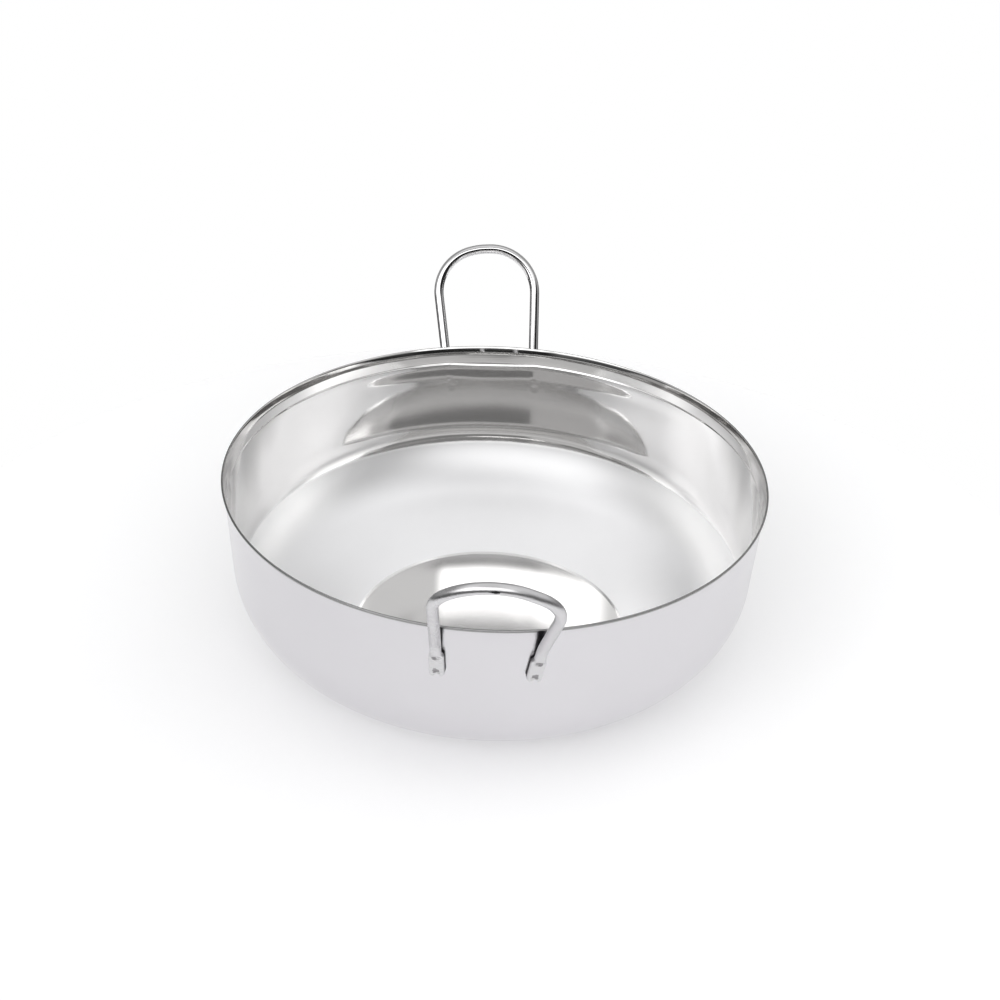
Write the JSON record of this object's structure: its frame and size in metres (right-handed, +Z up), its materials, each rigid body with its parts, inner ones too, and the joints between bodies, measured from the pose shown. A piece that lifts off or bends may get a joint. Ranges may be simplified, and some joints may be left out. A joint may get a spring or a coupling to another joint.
{
  "type": "two-handled open pan",
  "caption": "Round open steel pan with a flared lip, rounded corner and small flat base, carried by wire loop handles spot-welded to its wall.",
  "frame": {"origin": "centre of the underside of the flat base, on the surface that the pan stands on", "axes": "+Z up through the bowl's axis, +Y towards the rear handle, +X to the right seen from the front handle"},
  "size_m": [0.26, 0.3259, 0.1428],
  "materials": {
    "polished_sheet": "mirror polished stainless sheet",
    "bright_wire": "bright drawn stainless wire",
    "weld_metal": "as welded"
  },
  "bodies": {
    "root": {"bowl": "polished_sheet", "front_handle": "bright_wire", "rear_handle": "bright_wire", "front_left_welds": "weld_metal", "front_right_welds": "weld_metal", "rear_left_welds": "weld_metal", "rear_right_welds": "weld_metal"}
  },
  "joints": []
}
